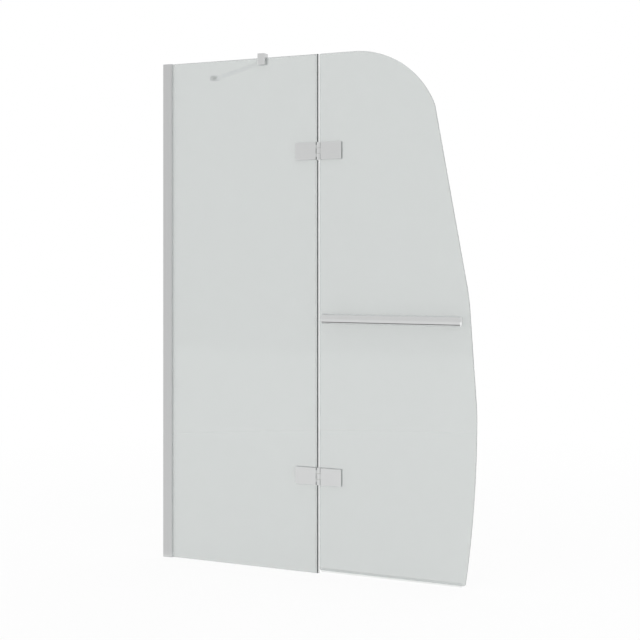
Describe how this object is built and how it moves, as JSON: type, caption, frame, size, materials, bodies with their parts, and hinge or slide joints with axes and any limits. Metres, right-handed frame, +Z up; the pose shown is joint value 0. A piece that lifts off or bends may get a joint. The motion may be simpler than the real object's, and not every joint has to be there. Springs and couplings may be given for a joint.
{
  "type": "folding bath screen",
  "caption": "Bath screen with a fixed glass pane in a wall profile, a braced top edge and a curved glass pane that folds on hinges and carries a towel rail.",
  "frame": {"origin": "on the wall, in the middle plane of the glass, at half the height of the fixed pane", "axes": "+X along the glass away from the wall, +Y towards the inside of the bath, +Z up"},
  "size_m": [0.9999, 0.344, 1.5125],
  "materials": {
    "pane_glass": "polished toughened safety glass",
    "profile_aluminium": "satin silver anodised",
    "grey_cap_plastic": "moulded silver grey",
    "pale_gasket": "extruded translucent vinyl",
    "grey_gasket": "extruded, matte",
    "clear_gasket": "extruded clear vinyl",
    "white_nylon": "moulded",
    "screw_steel": "stainless, turned",
    "chrome_plate": "bright chrome on brass",
    "bright_aluminium": "bright dipped and polished"
  },
  "bodies": {
    "wall_channel_body": {"wall_channel": "profile_aluminium"},
    "fixed_panel": {"glass_profile": "profile_aluminium", "profile_top_cap": "grey_cap_plastic", "profile_bottom_cap": "grey_cap_plastic", "front_glazing_gasket": "pale_gasket", "back_glazing_gasket": "pale_gasket", "profile_lock_screws": "screw_steel", "profile_lock_nuts": "screw_steel", "profile_screw_covers": "grey_cap_plastic", "fixed_glass": "pane_glass", "seam_seal_top": "grey_gasket", "seam_seal_middle": "grey_gasket", "seam_seal_bottom": "grey_gasket", "clamp_block": "chrome_plate", "clamp_liner": "clear_gasket", "clamp_pressure_pad": "screw_steel", "clamp_fork": "chrome_plate", "clamp_pivot_pin": "screw_steel", "clamp_pivot_washers": "white_nylon", "upper_hinge_fixed_leaf": "chrome_plate", "upper_hinge_fixed_front_plate": "chrome_plate", "upper_hinge_fixed_back_plate": "chrome_plate", "upper_hinge_fixed_gaskets": "grey_gasket", "upper_hinge_fixed_screws": "screw_steel", "upper_hinge_pin": "screw_steel", "lower_hinge_fixed_leaf": "chrome_plate", "lower_hinge_fixed_front_plate": "chrome_plate", "lower_hinge_fixed_back_plate": "chrome_plate", "lower_hinge_fixed_gaskets": "grey_gasket", "lower_hinge_fixed_screws": "screw_steel", "lower_hinge_pin": "screw_steel"},
    "folding_panel": {"folding_glass": "pane_glass", "drip_seal": "clear_gasket", "rail_tube": "chrome_plate", "rail_end_caps": "chrome_plate", "rail_posts": "chrome_plate", "rail_glass_washers": "clear_gasket", "rail_back_caps": "chrome_plate", "rail_bolts": "screw_steel", "upper_hinge_moving_leaf": "chrome_plate", "upper_hinge_moving_front_plate": "chrome_plate", "upper_hinge_moving_back_plate": "chrome_plate", "upper_hinge_moving_gaskets": "grey_gasket", "upper_hinge_moving_screws": "screw_steel", "upper_hinge_bushes": "white_nylon", "lower_hinge_moving_leaf": "chrome_plate", "lower_hinge_moving_front_plate": "chrome_plate", "lower_hinge_moving_back_plate": "chrome_plate", "lower_hinge_moving_gaskets": "grey_gasket", "lower_hinge_moving_screws": "screw_steel", "lower_hinge_bushes": "white_nylon"},
    "brace_arm": {"arm_glass_end": "bright_aluminium", "arm_tube": "bright_aluminium", "arm_wall_end": "bright_aluminium"},
    "wall_bracket": {"bracket_pivot_washers": "white_nylon", "wall_foot": "bright_aluminium", "wall_foot_grub_screw": "screw_steel", "bracket_pivot_pin": "screw_steel"}
  },
  "joints": [
    {"name": "profile_adjust", "type": "slide", "parent": "wall_channel_body", "child": "fixed_panel", "axis": [1, 0, 0], "range_m": [0, 0.008]},
    {"name": "panel_fold", "type": "hinge", "parent": "fixed_panel", "child": "folding_panel", "pos_m": [0.521, 0, 0], "axis": [0, 0, 1], "range_deg": [-90, 90]},
    {"name": "arm_swivel", "type": "hinge", "parent": "fixed_panel", "child": "brace_arm", "pos_m": [0.337, 0.023, 0.7435], "axis": [0, 0, 1], "range_deg": [-45, 25]},
    {"name": "bracket_swivel", "type": "hinge", "parent": "brace_arm", "child": "wall_bracket", "pos_m": [0.0171, 0.287, 0.7435], "axis": [0, 0, 1], "range_deg": [-40, 35]}
  ]
}
